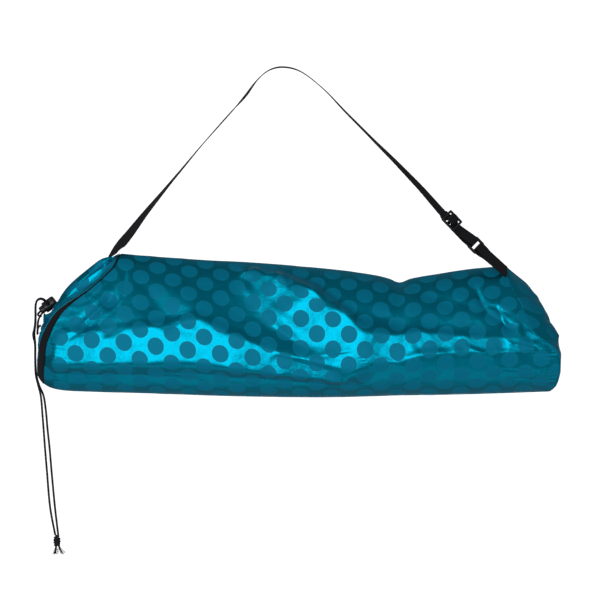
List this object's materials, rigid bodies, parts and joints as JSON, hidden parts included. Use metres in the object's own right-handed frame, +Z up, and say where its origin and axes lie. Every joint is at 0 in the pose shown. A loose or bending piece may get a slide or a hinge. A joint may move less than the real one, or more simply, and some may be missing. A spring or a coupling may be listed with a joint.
{
  "type": "yoga mat bag",
  "caption": "Tubular cloth bag for a rolled yoga mat, hanging by its webbing shoulder strap, with a slanted gathered mouth, drawcord and sprung cord lock.",
  "frame": {"origin": "where the bag hangs: the underside of the shoulder strap at its crown", "axes": "+X along the bag from its gathered mouth to its base, +Z up, the front faces -Y"},
  "size_m": [0.6693, 0.1375, 0.6201],
  "materials": {
    "dotted_satin": "glossy turquoise satin with tone-on-tone matte dots",
    "black_ribbon": "black ribbed ribbon",
    "black_webbing": "black flat-woven webbing",
    "hardware_plastic": "black moulded plastic, slightly glossy",
    "lock_plastic": "black moulded plastic with a soft sheen",
    "black_cord": "black braided round cord"
  },
  "bodies": {
    "bag": {"body_panel": "dotted_satin", "base_panel": "dotted_satin", "mouth_band": "black_ribbon", "mouth_collar": "dotted_satin", "shoulder_strap": "black_webbing", "strap_slider": "hardware_plastic", "strap_ring": "hardware_plastic", "strap_tab": "black_webbing", "lock_barrel": "lock_plastic", "drawcord_front": "black_cord", "drawcord_back": "black_cord", "cord_knot": "black_cord"},
    "button": {"lock_button": "lock_plastic"}
  },
  "joints": [
    {"name": "button_press", "type": "slide", "parent": "bag", "child": "button", "axis": [0.8, 0, 0.6], "range_m": [0, 0.004], "stiffness_N_per_m": 400, "springref_m": -0.001}
  ]
}
